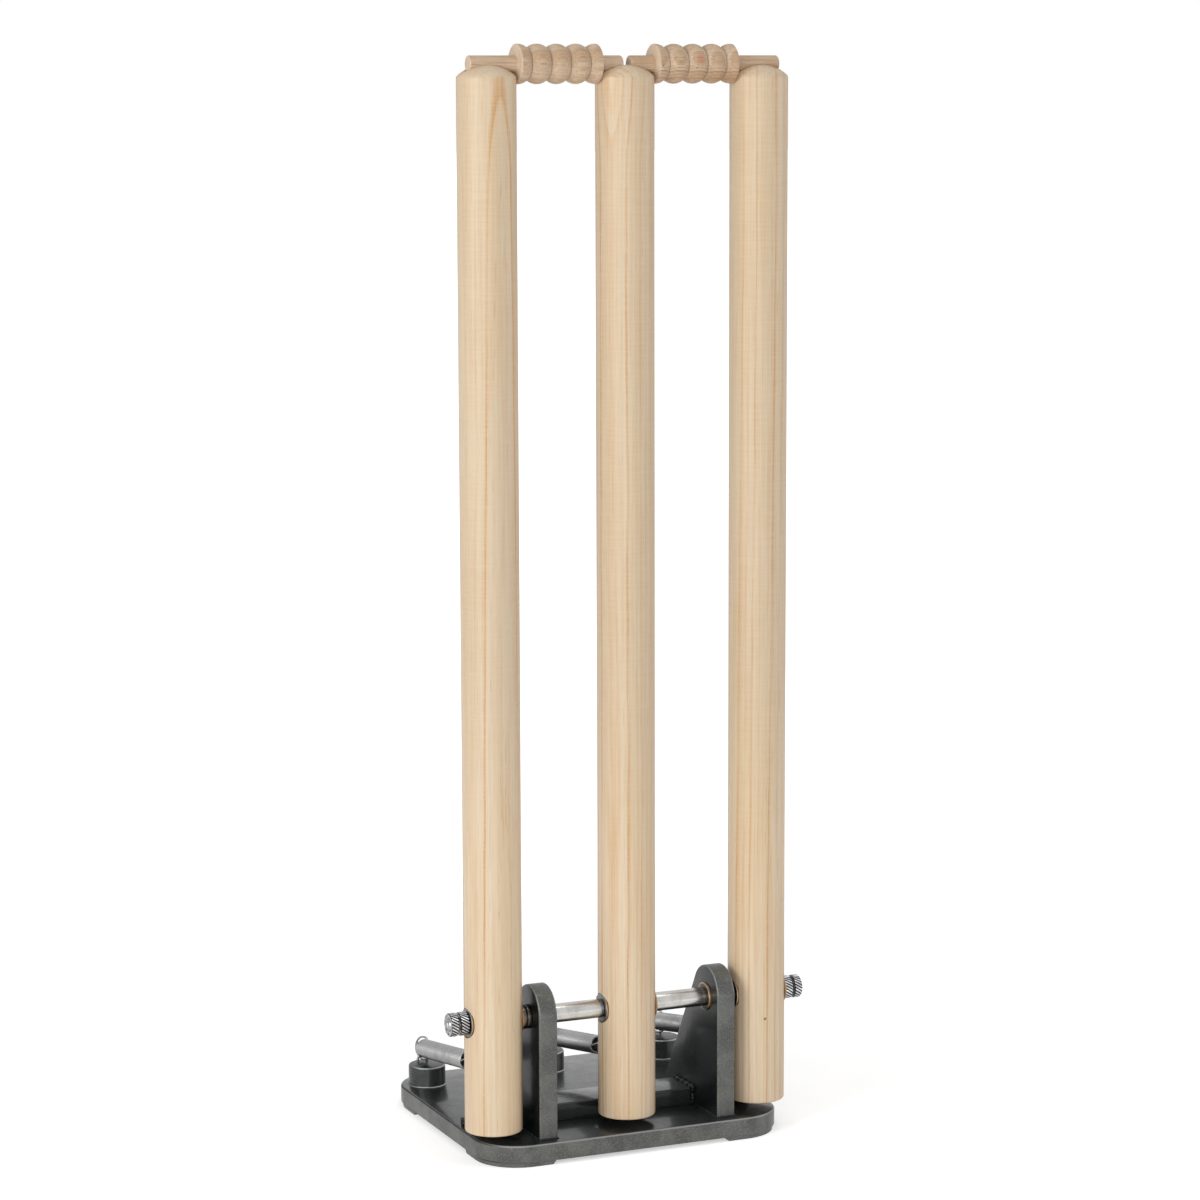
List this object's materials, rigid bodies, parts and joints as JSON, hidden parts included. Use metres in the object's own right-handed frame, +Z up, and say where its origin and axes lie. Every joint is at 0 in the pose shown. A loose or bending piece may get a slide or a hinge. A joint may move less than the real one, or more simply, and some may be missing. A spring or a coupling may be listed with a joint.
{
  "type": "spring-back cricket stumps",
  "caption": "Wooden cricket stumps and bails on a steel spindle over a heavy base plate, each stump sprung back upright after it is knocked.",
  "frame": {"origin": "on the floor under the middle of the base plate", "axes": "+X along the wicket to the right seen from the front, +Y to the rear where the springs are, +Z up"},
  "size_m": [0.2542, 0.1926, 0.7234],
  "materials": {
    "stump_ash": "pale ash, sanded and satin lacquered, straight grain",
    "bail_beech": "turned beech, bare and matte",
    "base_paint": "dark grey metallic paint, semi-gloss",
    "bright_steel": "turned bright steel",
    "nut_steel": "knurled bright steel",
    "spring_steel": "zinc plated spring wire",
    "bush_bronze": "dull brown bronze"
  },
  "bodies": {
    "base": {"base_plate": "base_paint", "left_upright": "base_paint", "right_upright": "base_paint", "middle_stop_bar": "base_paint", "left_stop_bar": "base_paint", "right_stop_bar": "base_paint", "left_spring_post": "base_paint", "middle_spring_post": "base_paint", "right_spring_post": "base_paint", "left_post_staple": "spring_steel", "middle_post_staple": "spring_steel", "right_post_staple": "spring_steel", "left_upright_bush": "bush_bronze", "right_upright_bush": "bush_bronze", "spindle": "bright_steel", "left_spacer_tube": "bright_steel", "right_spacer_tube": "bright_steel", "left_washer_1": "bright_steel", "left_washer_2": "bright_steel", "right_washer_1": "bright_steel", "right_washer_2": "bright_steel", "left_inner_nut": "nut_steel", "left_outer_nut": "nut_steel", "right_inner_nut": "nut_steel", "right_outer_nut": "nut_steel"},
    "left_stump": {"left_stump": "stump_ash", "left_stump_left_bush": "bush_bronze", "left_stump_right_bush": "bush_bronze", "left_screw_eye": "bright_steel"},
    "middle_stump": {"middle_stump": "stump_ash", "middle_stump_left_bush": "bush_bronze", "middle_stump_right_bush": "bush_bronze", "middle_screw_eye": "bright_steel"},
    "right_stump": {"right_stump": "stump_ash", "right_stump_left_bush": "bush_bronze", "right_stump_right_bush": "bush_bronze", "right_screw_eye": "bright_steel"},
    "left_spring": {"left_spring": "spring_steel"},
    "middle_spring": {"middle_spring": "spring_steel"},
    "right_spring": {"right_spring": "spring_steel"},
    "left_bail": {"left_bail": "bail_beech"},
    "right_bail": {"right_bail": "bail_beech"}
  },
  "joints": [
    {"name": "left_stump_tilt", "type": "hinge", "parent": "base", "child": "left_stump", "pos_m": [-0.09525, -0.0695, 0.0941], "axis": [-1, 0, 0], "range_deg": [0, 45], "stiffness_Nm_per_rad": 1.9, "springref_deg": -9.74},
    {"name": "middle_stump_tilt", "type": "hinge", "parent": "base", "child": "middle_stump", "pos_m": [0, -0.0695, 0.0941], "axis": [-1, 0, 0], "range_deg": [0, 45], "stiffness_Nm_per_rad": 1.9, "springref_deg": -9.74},
    {"name": "right_stump_tilt", "type": "hinge", "parent": "base", "child": "right_stump", "pos_m": [0.09525, -0.0695, 0.0941], "axis": [-1, 0, 0], "range_deg": [0, 45], "stiffness_Nm_per_rad": 1.9, "springref_deg": -9.74},
    {"name": "left_spring_stretch", "type": "slide", "parent": "base", "child": "left_spring", "axis": [0, -0.9254, -0.3789], "range_m": [0, 0.0399], "deforming": ["left_spring"]},
    {"name": "middle_spring_stretch", "type": "slide", "parent": "base", "child": "middle_spring", "axis": [0, -0.9254, -0.3789], "range_m": [0, 0.0399], "deforming": ["middle_spring"]},
    {"name": "right_spring_stretch", "type": "slide", "parent": "base", "child": "right_spring", "axis": [0, -0.9254, -0.3789], "range_m": [0, 0.0399], "deforming": ["right_spring"]},
    {"name": "left_bail_lift", "type": "slide", "parent": "left_stump", "child": "left_bail", "axis": [0, 0, 1], "range_m": [0, 0.02]},
    {"name": "right_bail_lift", "type": "slide", "parent": "right_stump", "child": "right_bail", "axis": [0, 0, 1], "range_m": [0, 0.02]}
  ],
  "couplings": [
    {"joint": "left_spring_stretch", "follows": "left_stump_tilt", "m_per_rad": 0.050786},
    {"joint": "middle_spring_stretch", "follows": "middle_stump_tilt", "m_per_rad": 0.050786},
    {"joint": "right_spring_stretch", "follows": "right_stump_tilt", "m_per_rad": 0.050786}
  ]
}
